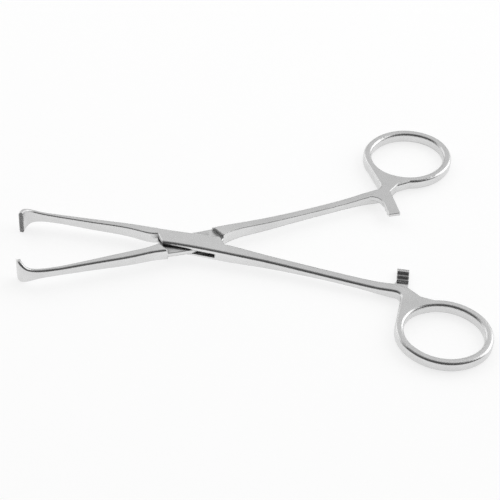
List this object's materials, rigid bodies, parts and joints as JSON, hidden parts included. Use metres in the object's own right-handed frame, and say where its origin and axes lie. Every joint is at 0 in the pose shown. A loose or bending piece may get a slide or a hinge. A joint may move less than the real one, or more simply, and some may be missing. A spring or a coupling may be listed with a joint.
{
  "type": "intestinal tissue forceps",
  "caption": "Ring-handled tissue forceps with a box lock, a ratchet catch and slender jaws that flare into wide, inward-turned, finely toothed gripping edges.",
  "frame": {"origin": "on the pivot axis, level with the flat underside of the box lock", "axes": "+X along the instrument's centre line towards the finger rings, +Z along the pivot axis, away from the underside"},
  "size_m": [0.1488, 0.1092, 0.0088],
  "materials": {
    "satin_steel": "satin, with a fine grain along each arm"
  },
  "bodies": {
    "box_arm": {"box_half": "satin_steel", "pivot_pin": "satin_steel"},
    "tenon_arm": {"tenon_half": "satin_steel"}
  },
  "joints": [
    {"name": "lock_pivot", "type": "hinge", "parent": "box_arm", "child": "tenon_arm", "pos_m": [0, 0, 0.0022], "axis": [0, 0, 1], "range_deg": [-21.2, 15]}
  ]
}
